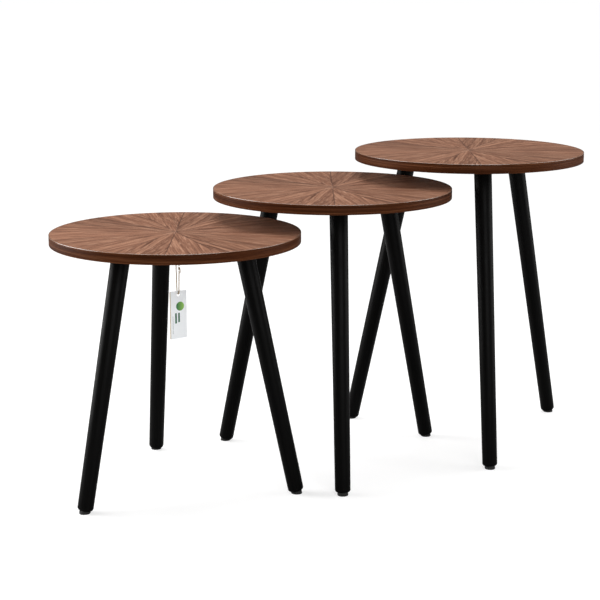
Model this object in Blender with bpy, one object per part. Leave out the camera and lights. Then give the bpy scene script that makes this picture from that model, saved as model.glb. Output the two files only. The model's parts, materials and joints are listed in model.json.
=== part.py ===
"""Nesting tables: three round three-legged side tables of rising height, standing in a row.

Each table is a veneered board (core, face veneer, backing sheet, edge band) on three turned
legs. A hanger bolt in the top of each leg screws into a splayed steel plate under the board, and
a rubber pad is nailed to its foot. The plates have holes for their wood screws, and the pads and
legs for their nails. A swing tag hangs on a twine loop under the smallest board.
Metres, +Z up. The floor is z = 0, the row runs along X, and the origin is the middle of the floor
area that the set covers.
"""

import math

import bmesh
import bpy
from mathutils import Matrix, Vector

# Clearances
GAP = 0.0003  # between two solids that touch
HOLE_GAP = 0.0004  # round and beyond a screw, bolt or nail in its hole

# Boards
BOARD_RADIUS = 0.200
CORE_THICKNESS = 0.0142
VENEER_THICKNESS = 0.0006
BAND_THICKNESS = 0.0010
BOARD_SIDES = 64

# Legs
LEG_COUNT = 3
LEG_SPLAY = math.radians(12.15)
LEG_RIM_INSET = 0.0886  # of the legs' axes from the rim, at the underside of the board
LEG_TOP_RADIUS = 0.0150
LEG_FOOT_RADIUS = 0.0126
LEG_TOP_ROUNDING = 0.0010
LEG_FOOT_CHAMFER_HEIGHT = 0.0045
LEG_END_RADIUS = 0.0092
LEG_SIDES = 20

# Leg plates
PLATE_SIDE = 0.054
PLATE_CORNER_RADIUS = 0.010
PLATE_STEEL = 0.0020
PLATE_SCREW_PITCH = 0.040
BOSS_REACH = 0.0070  # on the leg's axis, from the underside of the board to the boss's upper face
BOSS_BASE_RADIUS = 0.0220
BOSS_FACE_RADIUS = 0.0155
BOSS_SIDES = 16

# Fasteners
SCREW_RADIUS = 0.0019
SCREW_DEPTH = 0.0105  # in the board
SCREW_SIDES = 8
BOLT_RADIUS = 0.0040
BOLT_BOARD_GAP = 0.00114  # from the bolt's upper end to the underside of the board
BOLT_DEPTH = 0.0320  # in the leg
BOLT_POINT_LENGTH = 0.0060
BOLT_POINT_RADIUS = 0.0015
BOLT_SIDES = 10
NAIL_RADIUS = 0.0011
NAIL_LENGTH = 0.0130
NAIL_HEAD_RADIUS = 0.0030
NAIL_HEAD_HEIGHT = 0.0008
NAIL_HEAD_LIFT = 0.0012  # of the head above the floor, on the leg's axis
NAIL_SIDES = 8

# Foot pads
PAD_RADIUS = 0.0088
PAD_HEIGHT = 0.0042  # on the leg's axis, from the floor to the leg's end
PAD_SIDES = 16

# Tables: name, rise above the lowest table, yaw of the first leg, and how far the rim reaches
# under the next taller table's
LOWEST_HEIGHT = 0.420
TABLES = (
    ("small", 0.0, math.radians(195.3), 0.1059),
    ("medium", 0.050, math.radians(123.1), 0.1173),
    ("tall", 0.095, math.radians(125.6), 0.0),
)

# Swing tag
TAG_TABLE = "small"
TAG_OFFSET = (-0.0248, -0.0551)  # of the staple, from the board's centre
TAG_YAW = math.radians(4.1)  # of the staple's crown and of the card's width
STAPLE_WIRE_RADIUS = 0.0006
STAPLE_SPAN = 0.0130
STAPLE_DROP = 0.0040  # of the crown's axis, below the board
STAPLE_LEG_DEPTH = 0.0060  # in the board
STAPLE_SIDES = 6
TWINE_RADIUS = 0.00075
TWINE_STEP = 0.0032
KNOT_RADIUS = 0.0017
KNOT_NECK_RADIUS = 0.0009
KNOT_SIDES = 10
CARD_WIDTH = 0.0305
CARD_HEIGHT = 0.0765
CARD_THICKNESS = 0.0008
CARD_CORNER_RADIUS = 0.0015
CARD_HOLE_RADIUS = 0.0025
CARD_HOLE_INSET = 0.0065  # of the hole's centre, below the card's top edge

# The twine's route (y, z) from the crown's middle, in millimetres, in the plane square to the
# crown: from the knot up and over the crown, down behind the card, through its hole, and up
# in front to the knot.
TWINE_ROUTE = (
    (-4.62, -23.7), (-4.85, -18.5), (-5.15, -13.0), (-5.42, -8.0), (-5.40, -3.6),
    (-4.40, -0.55), (-2.45, 1.15), (0.0, 1.68), (2.45, 1.15), (4.40, -0.55),
    (5.40, -3.6), (5.42, -8.0), (5.15, -14.0), (4.85, -21.0), (4.50, -29.0),
    (4.15, -37.0), (3.80, -45.0), (3.45, -53.0), (3.15, -60.0), (2.98, -65.2),
    (2.12, -67.6), (0.0, -68.55), (-2.12, -67.6), (-2.98, -65.2), (-3.15, -60.0),
    (-3.45, -53.0), (-3.80, -45.0), (-4.12, -37.5), (-4.40, -30.3),
)

# Worked out from the sizes above
BOARD_THICKNESS = CORE_THICKNESS + 2 * (VENEER_THICKNESS + GAP)
CORE_RADIUS = BOARD_RADIUS - BAND_THICKNESS - GAP
LEG_CIRCLE_RADIUS = BOARD_RADIUS - LEG_RIM_INSET
LEG_TOP_Z = -(BOSS_REACH + PLATE_STEEL + GAP)  # in the leg's frame
BOLT_TOP_Z = -(BOLT_BOARD_GAP + BOLT_RADIUS * math.tan(LEG_SPLAY))

COLOURS = {
    "core": ((0.42, 0.30, 0.19), 0.80, 0.0),
    "walnut": ((0.25, 0.115, 0.066), 0.45, 0.0),
    "walnut_edge": ((0.17, 0.075, 0.042), 0.45, 0.0),
    "leg_black": ((0.012, 0.012, 0.012), 0.38, 0.0),
    "steel": ((0.45, 0.45, 0.46), 0.35, 1.0),
    "rubber": ((0.02, 0.02, 0.02), 0.75, 0.0),
    "card": ((0.86, 0.88, 0.89), 0.60, 0.0),
    "twine": ((0.55, 0.42, 0.27), 0.90, 0.0),
}


def clear_scene():
    for obj in list(bpy.data.objects):
        bpy.data.objects.remove(obj)


def make_material(name):
    colour, roughness, metallic = COLOURS[name]
    material = bpy.data.materials.new(name)
    material.use_nodes = True
    shader = material.node_tree.nodes["Principled BSDF"]
    shader.inputs["Base Color"].default_value = (*colour, 1.0)
    shader.inputs["Roughness"].default_value = roughness
    shader.inputs["Metallic"].default_value = metallic
    return material


def link(name, data, parent, frame=None):
    obj = bpy.data.objects.new(name, data)
    bpy.context.scene.collection.objects.link(obj)
    obj.parent = parent
    if frame:
        obj.matrix_basis = frame
    return obj


def add_node(name, fill_mesh, material, parent, frame=None):
    """One named object, with the shape that fill_mesh puts in its bmesh, placed by frame."""
    bm = bmesh.new()
    fill_mesh(bm)
    bmesh.ops.recalc_face_normals(bm, faces=bm.faces)
    mesh = bpy.data.meshes.new(name)
    bm.to_mesh(mesh)
    bm.free()
    mesh.materials.append(material)
    mesh.shade_smooth()
    mesh.set_sharp_from_angle(angle=math.radians(35))
    return link(name, mesh, parent, frame)


# Shapes in a bmesh


def circle(radius, sides, centre=(0.0, 0.0), turn=0.0):
    step = 2 * math.pi / sides
    angles = [turn + i * step for i in range(sides)]
    return [(centre[0] + radius * math.cos(a), centre[1] + radius * math.sin(a)) for a in angles]


def circumscribed(radius, sides):
    """The corner radius of a regular polygon whose flats just clear this radius."""
    return radius / math.cos(math.pi / sides)


def rounded_rectangle(width, height, corner, corner_steps):
    points = []
    for quarter, (side_x, side_y) in enumerate(((1, 1), (-1, 1), (-1, -1), (1, -1))):
        centre = (side_x * (width / 2 - corner), side_y * (height / 2 - corner))
        start = quarter * math.pi / 2
        for i in range(corner_steps + 1):
            angle = start + i / corner_steps * math.pi / 2
            points.append((centre[0] + corner * math.cos(angle), centre[1] + corner * math.sin(angle)))
    return points


def add_loop(bm, points, z, frame=None):
    """Vertices at the (x, y) points, at height z."""
    spots = [Vector((x, y, z)) for x, y in points]
    return [bm.verts.new(frame @ spot if frame else spot) for spot in spots]


def bridge(bm, lower, upper):
    """Quads between two loops of the same count."""
    for i in range(len(lower)):
        j = (i + 1) % len(lower)
        bm.faces.new((lower[i], lower[j], upper[j], upper[i]))


def fill_between(bm, loops):
    """A flat face inside the first loop and outside the others, as triangles."""
    edges = []
    for loop in loops:
        for a, b in zip(loop, loop[1:] + loop[:1]):
            edges.append(bm.edges.get((a, b)) or bm.edges.new((a, b)))
    bmesh.ops.triangle_fill(bm, edges=edges, use_beauty=True)


def add_turned(bm, profile, sides):
    """A turned solid from (radius, z) pairs, with flat ends."""
    loops = [add_loop(bm, circle(radius, sides), z) for radius, z in profile]
    for lower, upper in zip(loops, loops[1:]):
        bridge(bm, lower, upper)
    bm.faces.new(loops[0])
    bm.faces.new(loops[-1])


def add_sheet(bm, outline, holes, low, high):
    """A flat sheet. Each hole is an outline and the height it is cut up to."""
    low_outline = add_loop(bm, outline, low)
    high_outline = add_loop(bm, outline, high)
    bridge(bm, low_outline, high_outline)
    mouths = [add_loop(bm, hole, low) for hole, _ in holes]
    fill_between(bm, [low_outline, *mouths])
    through = []
    for mouth, (hole, top) in zip(mouths, holes):
        roof = add_loop(bm, hole, min(top, high))
        bridge(bm, mouth, roof)
        if top < high:
            bm.faces.new(roof)
        else:
            through.append(roof)
    fill_between(bm, [high_outline, *through])


def drill_end(bm, rim, z, radius, sides, depth_z):
    """Closes a loop at z with a flat end that has a blind hole in its middle."""
    mouth = add_loop(bm, circle(radius, sides), z)
    bottom = add_loop(bm, circle(radius, sides), depth_z)
    fill_between(bm, [rim, mouth])
    bridge(bm, mouth, bottom)
    bm.faces.new(bottom)


# Places


def leg_yaws(first_yaw):
    return [first_yaw + i * 2 * math.pi / LEG_COUNT for i in range(LEG_COUNT)]


def leg_frame(yaw, underside):
    """Origin where the leg's axis meets the board's underside, +Z up along the leg."""
    spot = Matrix.Rotation(yaw, 4, "Z") @ Vector((LEG_CIRCLE_RADIUS, 0.0, 0.0))
    spot.z = underside
    turn = Matrix.Rotation(yaw, 4, "Z") @ Matrix.Rotation(-LEG_SPLAY, 4, "Y")
    return Matrix.Translation(spot) @ turn


def floor_z(underside):
    """Where the leg's axis meets the floor, in the leg's frame."""
    return -underside / math.cos(LEG_SPLAY)


def plate_screw_corners():
    half = PLATE_SCREW_PITCH / 2
    return [(half, half), (-half, half), (-half, -half), (half, -half)]


def screw_spots(first_yaw):
    """Centres of all the plate screws of one board, seen from above."""
    spots = []
    for yaw in leg_yaws(first_yaw):
        turn = Matrix.Rotation(yaw, 4, "Z")
        for x, y in plate_screw_corners():
            spot = turn @ Vector((LEG_CIRCLE_RADIUS + x, y, 0.0))
            spots.append((spot.x, spot.y))
    return spots


def staple_pin_spots():
    """Where the staple's two points enter the board, seen from above."""
    half = Matrix.Rotation(TAG_YAW, 4, "Z") @ Vector((STAPLE_SPAN / 2, 0.0, 0.0))
    return [(TAG_OFFSET[0] + side * half.x, TAG_OFFSET[1] + side * half.y) for side in (-1, 1)]


# Board


def board_holes(table, first_yaw, underside):
    screw_hole = circumscribed(SCREW_RADIUS + HOLE_GAP, SCREW_SIDES)
    screw_top = underside + SCREW_DEPTH + HOLE_GAP
    holes = [(circle(screw_hole, SCREW_SIDES, spot), screw_top) for spot in screw_spots(first_yaw)]
    if table == TAG_TABLE:
        pin_hole = circumscribed(STAPLE_WIRE_RADIUS + GAP, STAPLE_SIDES)
        pin_top = underside + STAPLE_LEG_DEPTH + HOLE_GAP
        holes += [(circle(pin_hole, STAPLE_SIDES, spot), pin_top) for spot in staple_pin_spots()]
    return holes


def make_board(table, height, first_yaw, parent, materials):
    underside = height - BOARD_THICKNESS
    backing_top = underside + VENEER_THICKNESS
    face_low = height - VENEER_THICKNESS
    disc = circle(CORE_RADIUS, BOARD_SIDES)
    holes = board_holes(table, first_yaw, underside)

    def core(bm):
        add_sheet(bm, disc, holes, backing_top + GAP, face_low - GAP)

    def backing(bm):
        add_sheet(bm, disc, holes, underside, backing_top)

    def face(bm):
        add_sheet(bm, disc, [], face_low, height)

    def band(bm):
        inner = circle(BOARD_RADIUS - BAND_THICKNESS, BOARD_SIDES)
        outer = circle(BOARD_RADIUS, BOARD_SIDES)
        corners = ((inner, underside), (outer, underside), (outer, height), (inner, height))
        loops = [add_loop(bm, points, z) for points, z in corners]
        for lower, upper in zip(loops, loops[1:] + loops[:1]):
            bridge(bm, lower, upper)

    add_node(f"{table}_board_core", core, materials["core"], parent)
    add_node(f"{table}_backing_sheet", backing, materials["walnut"], parent)
    add_node(f"{table}_face_veneer", face, materials["walnut"], parent)
    add_node(f"{table}_edge_band", band, materials["walnut_edge"], parent)


# Legs, bolts, plates and pads, each in the leg's frame


def make_leg(name, underside, parent, frame, material):
    end = floor_z(underside) + PAD_HEIGHT
    bolt_hole = circumscribed(BOLT_RADIUS + HOLE_GAP, BOLT_SIDES)
    nail_hole = circumscribed(NAIL_RADIUS + HOLE_GAP, NAIL_SIDES)
    nail_top = floor_z(underside) + NAIL_HEAD_LIFT + NAIL_LENGTH

    def leg(bm):
        profile = (
            (LEG_END_RADIUS, end),
            (LEG_FOOT_RADIUS, end + LEG_FOOT_CHAMFER_HEIGHT),
            (LEG_TOP_RADIUS, LEG_TOP_Z - LEG_TOP_ROUNDING),
            (LEG_TOP_RADIUS - LEG_TOP_ROUNDING, LEG_TOP_Z),
        )
        loops = [
            add_loop(bm, circle(circumscribed(radius, LEG_SIDES), LEG_SIDES), z) for radius, z in profile
        ]
        for lower, upper in zip(loops, loops[1:]):
            bridge(bm, lower, upper)
        drill_end(bm, loops[0], end, nail_hole, NAIL_SIDES, nail_top + HOLE_GAP)
        drill_end(bm, loops[-1], LEG_TOP_Z, bolt_hole, BOLT_SIDES, LEG_TOP_Z - BOLT_DEPTH - HOLE_GAP)

    add_node(name, leg, material, parent, frame)


def make_bolt(name, parent, frame, material):
    tip = LEG_TOP_Z - BOLT_DEPTH

    def bolt(bm):
        profile = (
            (BOLT_POINT_RADIUS, tip),
            (BOLT_RADIUS, tip + BOLT_POINT_LENGTH),
            (BOLT_RADIUS, BOLT_TOP_Z),
        )
        add_turned(bm, profile, BOLT_SIDES)

    add_node(name, bolt, material, parent, frame)


def make_plate(name, parent, frame, material):
    """A pressed plate: a flat flange on the board, and a boss with its face square to the leg."""
    upright = Matrix.Rotation(LEG_SPLAY, 4, "Y")
    half_step = math.pi / BOSS_SIDES
    outline = rounded_rectangle(PLATE_SIDE, PLATE_SIDE, PLATE_CORNER_RADIUS, 3)
    screw_hole = circumscribed(SCREW_RADIUS + HOLE_GAP, SCREW_SIDES)
    bolt_hole = circumscribed(BOLT_RADIUS + HOLE_GAP, BOSS_SIDES)

    def flange(bm, z, base_radius):
        rim = add_loop(bm, outline, z, upright)
        base = add_loop(bm, circle(base_radius, BOSS_SIDES, turn=half_step), z, upright)
        holes = [
            add_loop(bm, circle(screw_hole, SCREW_SIDES, corner), z, upright)
            for corner in plate_screw_corners()
        ]
        fill_between(bm, [rim, base, *holes])
        return rim, base, holes

    def boss(bm, base, face_radius, z):
        face = add_loop(bm, circle(face_radius, BOSS_SIDES, turn=half_step), z)
        bore = add_loop(bm, circle(bolt_hole, BOSS_SIDES, turn=half_step), z)
        bridge(bm, base, face)
        bridge(bm, face, bore)
        return bore

    def plate(bm):
        upper_rim, upper_base, upper_holes = flange(bm, -GAP, BOSS_BASE_RADIUS - PLATE_STEEL / 2)
        lower_rim, lower_base, lower_holes = flange(bm, -GAP - PLATE_STEEL, BOSS_BASE_RADIUS)
        bridge(bm, upper_rim, lower_rim)
        for upper, lower in zip(upper_holes, lower_holes):
            bridge(bm, upper, lower)
        upper_bore = boss(bm, upper_base, BOSS_FACE_RADIUS - PLATE_STEEL / 2, -BOSS_REACH)
        lower_bore = boss(bm, lower_base, BOSS_FACE_RADIUS, -BOSS_REACH - PLATE_STEEL)
        bridge(bm, upper_bore, lower_bore)

    add_node(name, plate, material, parent, frame)


def make_pad(name, underside, parent, frame, material):
    """A rubber pad, square to the leg above and flat on the floor below."""
    floor = floor_z(underside)
    top = floor + PAD_HEIGHT - GAP
    recess_top = floor + NAIL_HEAD_LIFT + NAIL_HEAD_HEIGHT + HOLE_GAP
    hole = circumscribed(NAIL_RADIUS + HOLE_GAP, PAD_SIDES)
    recess = circumscribed(NAIL_HEAD_RADIUS + HOLE_GAP, PAD_SIDES)

    def on_floor(bm, radius):
        loop = add_loop(bm, circle(radius, PAD_SIDES), floor)
        for vert in loop:
            vert.co.z -= vert.co.x * math.tan(LEG_SPLAY)
        return loop

    def pad(bm):
        loops = [
            on_floor(bm, recess),
            on_floor(bm, PAD_RADIUS),
            add_loop(bm, circle(PAD_RADIUS, PAD_SIDES), top),
            add_loop(bm, circle(hole, PAD_SIDES), top),
            add_loop(bm, circle(hole, PAD_SIDES), recess_top),
            add_loop(bm, circle(recess, PAD_SIDES), recess_top),
        ]
        for lower, upper in zip(loops, loops[1:] + loops[:1]):
            bridge(bm, lower, upper)

    add_node(name, pad, material, parent, frame)


# Swing tag: its frame has its origin in the middle of the staple's crown and X along it


def make_tag(underside, table_empty, materials):
    crown = link("tag_hang_point", None, table_empty)
    crown.matrix_basis = (
        Matrix.Translation((*TAG_OFFSET, underside - STAPLE_DROP)) @ Matrix.Rotation(TAG_YAW, 4, "Z")
    )
    route = [Vector((0.0, y, z)) / 1000 for y, z in TWINE_ROUTE]
    make_staple(crown, materials["steel"])
    make_twine(route, crown, materials["twine"])
    make_knot(route, crown, materials["twine"])
    make_card(route, crown, materials["card"])


def make_staple(parent, material):
    half = STAPLE_SPAN / 2
    point_z = STAPLE_DROP + STAPLE_LEG_DEPTH
    corners = [Vector((x, 0.0, z)) for x, z in ((-half, point_z), (-half, 0.0), (half, 0.0), (half, point_z))]
    runs = [(b - a).normalized() for a, b in zip(corners, corners[1:])]

    def staple(bm):
        loops = []
        for corner, before, after in zip(corners, [runs[0], *runs], [*runs, runs[-1]]):
            along = (before + after).normalized()
            across = Vector((-along.z, 0.0, along.x)) / along.dot(after)
            spots = [
                corner + across * x + Vector((0.0, y, 0.0))
                for x, y in circle(STAPLE_WIRE_RADIUS, STAPLE_SIDES)
            ]
            loops.append([bm.verts.new(spot) for spot in spots])
        for lower, upper in zip(loops, loops[1:]):
            bridge(bm, lower, upper)
        bm.faces.new(loops[0])
        bm.faces.new(loops[-1])

    add_node("tag_staple", staple, material, parent)


def smooth_route(points, step):
    """Points one step apart on a Catmull-Rom curve through the given ones."""
    padded = [2 * points[0] - points[1], *points, 2 * points[-1] - points[-2]]
    fine = []
    for before, start, end, after in zip(padded, padded[1:], padded[2:], padded[3:]):
        for i in range(16):
            t = i / 16
            fine.append(0.5 * (
                2 * start + (end - before) * t
                + (2 * before - 5 * start + 4 * end - after) * t * t
                + (3 * start - before - 3 * end + after) * t ** 3
            ))
    fine.append(points[-1])
    lengths = [0.0]
    for a, b in zip(fine, fine[1:]):
        lengths.append(lengths[-1] + (b - a).length)
    count = round(lengths[-1] / step)
    spots = []
    for i in range(count):
        wanted = i / count * lengths[-1]
        k = next(j for j, length in enumerate(lengths) if length > wanted) - 1
        share = (wanted - lengths[k]) / (lengths[k + 1] - lengths[k])
        spots.append(fine[k].lerp(fine[k + 1], share))
    return [*spots, fine[-1]]


def make_twine(route, parent, material):
    curve = bpy.data.curves.new("tag_twine", "CURVE")
    curve.dimensions = "3D"
    curve.bevel_depth = TWINE_RADIUS
    curve.bevel_resolution = 2
    curve.use_fill_caps = True
    spots = smooth_route(route, TWINE_STEP)
    spline = curve.splines.new("POLY")
    spline.points.add(len(spots) - 1)
    for point, spot in zip(spline.points, spots):
        point.co = (*spot, 1.0)
    curve.materials.append(material)
    link("tag_twine", curve, parent)


def make_knot(route, parent, material):
    """The tied lump that closes the loop, between the twine's two ends."""
    upper, lower = route[0], route[-1]
    along = upper - lower
    length = along.length - 2 * GAP
    frame = Matrix.Translation((upper + lower) / 2) @ along.to_track_quat("Z", "Y").to_matrix().to_4x4()

    def knot(bm):
        profile = (
            (KNOT_NECK_RADIUS, -length / 2),
            (KNOT_RADIUS, -length / 4),
            (KNOT_RADIUS, length / 4),
            (KNOT_NECK_RADIUS, length / 2),
        )
        add_turned(bm, profile, KNOT_SIDES)

    add_node("tag_knot", knot, material, parent, frame)


def make_card(route, parent, material):
    hole_z = min(point.z for point in route) + TWINE_RADIUS + GAP - CARD_HOLE_RADIUS
    middle_z = hole_z + CARD_HOLE_INSET - CARD_HEIGHT / 2
    frame = Matrix.Translation((0.0, 0.0, middle_z)) @ Matrix.Rotation(math.pi / 2, 4, "X")

    def card(bm):
        outline = rounded_rectangle(CARD_WIDTH, CARD_HEIGHT, CARD_CORNER_RADIUS, 4)
        hole = circle(circumscribed(CARD_HOLE_RADIUS, 24), 24, (0.0, hole_z - middle_z))
        low, high = -CARD_THICKNESS / 2, CARD_THICKNESS / 2
        add_sheet(bm, outline, [(hole, high)], low, high)

    add_node("tag_card", card, material, parent, frame)


# The set


def make_table(table, height, first_yaw, x, materials):
    table_empty = link(f"{table}_table", None, None)
    table_empty.location.x = x
    underside = height - BOARD_THICKNESS
    make_board(table, height, first_yaw, table_empty, materials)
    for number, yaw in enumerate(leg_yaws(first_yaw), start=1):
        frame = leg_frame(yaw, underside)
        make_plate(f"{table}_leg_plate_{number}", table_empty, frame, materials["steel"])
        make_bolt(f"{table}_hanger_bolt_{number}", table_empty, frame, materials["steel"])
        make_leg(f"{table}_leg_{number}", underside, table_empty, frame, materials["leg_black"])
        make_pad(f"{table}_foot_pad_{number}", underside, table_empty, frame, materials["rubber"])
    if table == TAG_TABLE:
        make_tag(underside, table_empty, materials)
    return table_empty


def centre_on_floor(table_empties):
    """Moves the tables so that the middle of the set's outline is over the origin."""
    bpy.context.view_layer.update()
    meshes = [obj for obj in bpy.data.objects if obj.type == "MESH"]
    corners = [obj.matrix_world @ vert.co for obj in meshes for vert in obj.data.vertices]
    for axis in (0, 1):
        values = [corner[axis] for corner in corners]
        middle = (min(values) + max(values)) / 2
        for table_empty in table_empties:
            table_empty.location[axis] -= middle


def main():
    clear_scene()
    materials = {name: make_material(name) for name in COLOURS}
    table_empties = []
    x = 0.0
    for table, rise, first_yaw, overlap in TABLES:
        table_empties.append(make_table(table, LOWEST_HEIGHT + rise, first_yaw, x, materials))
        x += 2 * BOARD_RADIUS - overlap
    centre_on_floor(table_empties)


main()
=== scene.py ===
"""Looks for a set of three round nesting tables with splayed black legs and a swing tag.

The boards get sunburst veneer faces and edge bands, the legs satin black lacquer over turned wood,
and the fittings under the boards their pressed steel plates, screws, nails and rubber pads.
"""

import json
import math

import bpy
from mathutils import Matrix, Vector

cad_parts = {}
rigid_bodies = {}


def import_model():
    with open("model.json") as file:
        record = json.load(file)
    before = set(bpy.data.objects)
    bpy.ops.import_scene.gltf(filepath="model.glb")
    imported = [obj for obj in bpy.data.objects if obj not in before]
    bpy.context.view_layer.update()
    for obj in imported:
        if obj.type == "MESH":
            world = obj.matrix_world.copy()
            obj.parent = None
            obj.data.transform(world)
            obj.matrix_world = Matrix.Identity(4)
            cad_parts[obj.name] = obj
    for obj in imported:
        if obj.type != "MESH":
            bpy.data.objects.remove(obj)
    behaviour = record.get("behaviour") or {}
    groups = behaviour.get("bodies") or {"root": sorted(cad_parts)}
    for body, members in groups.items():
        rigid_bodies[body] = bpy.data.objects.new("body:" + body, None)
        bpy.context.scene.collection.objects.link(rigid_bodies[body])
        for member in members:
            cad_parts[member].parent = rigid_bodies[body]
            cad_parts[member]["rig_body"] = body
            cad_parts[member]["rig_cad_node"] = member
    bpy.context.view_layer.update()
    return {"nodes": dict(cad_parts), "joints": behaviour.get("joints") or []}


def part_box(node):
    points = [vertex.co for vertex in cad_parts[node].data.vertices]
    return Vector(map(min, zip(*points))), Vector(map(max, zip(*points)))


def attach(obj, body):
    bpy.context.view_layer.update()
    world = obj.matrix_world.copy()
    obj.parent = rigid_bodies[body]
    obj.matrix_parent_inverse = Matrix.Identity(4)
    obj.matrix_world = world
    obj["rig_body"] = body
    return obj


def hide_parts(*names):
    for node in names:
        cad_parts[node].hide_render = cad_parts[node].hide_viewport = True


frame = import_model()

TABLES = ("small", "medium", "tall")

# Boards
BOARD_RADIUS = 0.200
BAND_THICKNESS = 0.0010
BAND_ARRIS = 0.0007  # width of the bevel on the band's outer corners
VENEER_THICKNESS = 0.0006
VENEER_GAP = 0.0003
RIM_SIDES = 256
LEAF_COUNT = 16
LEAF_ANGLE = 2 * math.pi / LEAF_COUNT
FIRST_SEAM = math.radians(14.1)
SEAM_CORE = 0.0003  # half-width of the glue line at its full depth of colour
SEAM_EDGE = 0.0013  # half-width where it has faded out
SEAM_DEPTH = 0.80

# Legs
LEG_NUMBERS = (1, 2, 3)
LEG_YAWS = {"small": 195.3, "medium": 123.1, "tall": 125.6}  # degrees, of each table's first leg
LEG_SPLAY = math.radians(12.15)
LEG_CIRCLE_RADIUS = 0.1114
LEG_TOP_RADIUS = 0.0150
LEG_FOOT_RADIUS = 0.0126
LEG_TOP_DROP = 0.0093  # on the leg's axis, below the board
LEG_TOP_EASE = 0.0010
LEG_FOOT_EASE = 0.0042
LEG_FOOT_PROFILE = 0.42  # a little flatter than round
LEG_SIDES = 64
BOLT_HOLE_RADIUS = 0.0046
BOLT_HOLE_DEPTH = 0.0324

# Foot pads and their nails
PAD_RADIUS = 0.0088
PAD_HEIGHT = 0.0042
PAD_GAP = 0.0003  # below the leg
PAD_EASE = 0.0006
PAD_RECESS_RADIUS = 0.0034
PAD_RECESS_HEIGHT = 0.0024
PAD_SIDES = 48
NAIL_RADIUS = 0.0011
NAIL_HEAD_RADIUS = 0.0030
NAIL_HEAD_LIFT = 0.0012  # above the floor, along the leg
NAIL_HEAD_HEIGHT = 0.0008
NAIL_LENGTH = 0.0130
NAIL_POINT_SCALE = 0.5
NAIL_EASE = 0.00022
NAIL_SIDES = 24
NAIL_HOLE_RADIUS = 0.0016

# Leg plates and their screws
PLATE_STEEL = 0.0020
PLATE_GAP = 0.0003  # between plate and board, and between screw head and plate
PLATE_EASE = 0.0005
PLATE_MERGE_DISTANCE = 0.00001
PLATE_SCREW_PITCH = 0.040
SCREW_RADIUS = 0.0019
SCREW_DEPTH = 0.0105
SCREW_HEAD_RADIUS = 0.0038
SCREW_HEAD_HEIGHT = 0.0022
SCREW_SLOT_WIDTH = 0.0009
SCREW_SLOT_LENGTH = 0.0042
SCREW_HEAD_ROUNDING = 0.7  # share of the head's height
SCREW_STRAIGHT_SHARE = 0.7  # of the shank, before its point
SCREW_POINT_SHARE = 0.3
SCREW_POINT_SCALE = 0.25
SCREW_TURN = 1.1  # radians from one screw's slot to the next one's
SCREW_SIDES = 32

# Swing tag, from the middle of the staple's crown
TAG_JOINT = next(joint for joint in frame["joints"] if joint["name"] == "tag_swing")
TAG_POINT = Vector(TAG_JOINT["pos_m"])
TAG_ACROSS = Vector(TAG_JOINT["axis"]).normalized()  # along the crown, and across the card
STAPLE_WIRE_RADIUS = 0.0006
STAPLE_SPAN = 0.0130
STAPLE_DROP = 0.0040
STAPLE_LEG_DEPTH = 0.0060
STAPLE_CORNER_RADIUS = 0.0012
ROUND_HANDLE = 0.55  # length of a curve handle over the radius of a round corner
TWINE_CREST = 0.00090  # of the plies' outer sides
TWINE_LAY = 0.0044  # one full twist of its three plies
TWINE_SIDES = 24
TWINE_STEP = 0.00036
TWINE_UNEVENNESS = 0.07  # the most that its girth shrinks by
FIBRE_SPREAD = 0.4  # round the twine, in the pattern of the fibres
PLY_SHARE = 0.4641  # radius of each of three round plies that touch, over the twine's
ROUTE_PIECES = 16  # of the curve between two points of a route
KNOT_TURNS = 2.6
KNOT_PIECES = 30
KNOT_LENGTH = 0.0042
KNOT_RING_RADIUS = 0.00075
KNOT_RING_SWELL = 0.00020
KNOT_STRAND_CREST = 0.00072
KNOT_TAIL_CREST = 0.00062
KNOT_TAIL = ((0.0010, 0.0009), (-0.0010, 0.0017), (-0.0042, 0.0022), (-0.0078, 0.0018))  # up, across
CARD_WIDTH = 0.0305
CARD_HEIGHT = 0.0765
CARD_THICKNESS = 0.0008
CARD_CORNER_RADIUS = 0.0015
CARD_HOLE_RADIUS = 0.0025
CARD_HOLE_SIDES = 48
CARD_HOLE_INSET = 0.0065  # of its middle, from the card's top edge
CARD_HOLE_Z = -0.0700
PUNCH_REACH = 0.01
CARD_EASE = 0.00012

# Marks on the card, from its middle: a centre and a radius, or left, low, right and high
CARD_DISC = (0.0032, 0.0135, 0.0072)
CARD_BARS = ((-0.0060, -0.0135, -0.0030, 0.0030), (-0.0005, -0.0120, 0.0025, 0.0030))
CARD_LINE = (-0.0106, -0.0300, -0.0093, -0.0010)
CARD_DOTS_PER_METRE = 620.0
CARD_DOT_SPACE = 0.45  # share of the line between two dots
CARD_STRIP_EDGE = (0.0013, 0.0017)  # from the card's left edge, where the strip fades out
CARD_DISC_FADE = (-0.003, 0.009)  # from its dark side to its pale one
MARK_SOFTNESS = 0.0001

# The twine's route (y, z) from the crown's middle, in millimetres: from the knot up and over the
# crown, down behind the card, through its hole, and up in front to the knot.
TWINE_ROUTE = (
    (-4.62, -23.7), (-4.85, -18.5), (-5.15, -13.0), (-5.42, -8.0), (-5.40, -3.6),
    (-4.40, -0.55), (-2.45, 1.15), (0.0, 1.68), (2.45, 1.15), (4.40, -0.55),
    (5.40, -3.6), (5.42, -8.0), (5.15, -14.0), (4.85, -21.0), (4.50, -29.0),
    (4.15, -37.0), (3.80, -45.0), (3.45, -53.0), (3.15, -60.0), (2.98, -65.2),
    (2.12, -67.6), (0.0, -68.55), (-2.12, -67.6), (-2.98, -65.2), (-3.15, -60.0),
    (-3.45, -53.0), (-3.80, -45.0), (-4.12, -37.5), (-4.40, -30.3),
)

# Camera, from the small table's centre on the floor
CAMERA_OFFSET = Vector((-1.11262, -2.24460, 0.8475))
CAMERA_YAW = math.radians(-30.9)
CAMERA_PITCH = math.radians(12.171)
CAMERA_LENS = 95.5
CAMERA_SENSOR = 36.0

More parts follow.
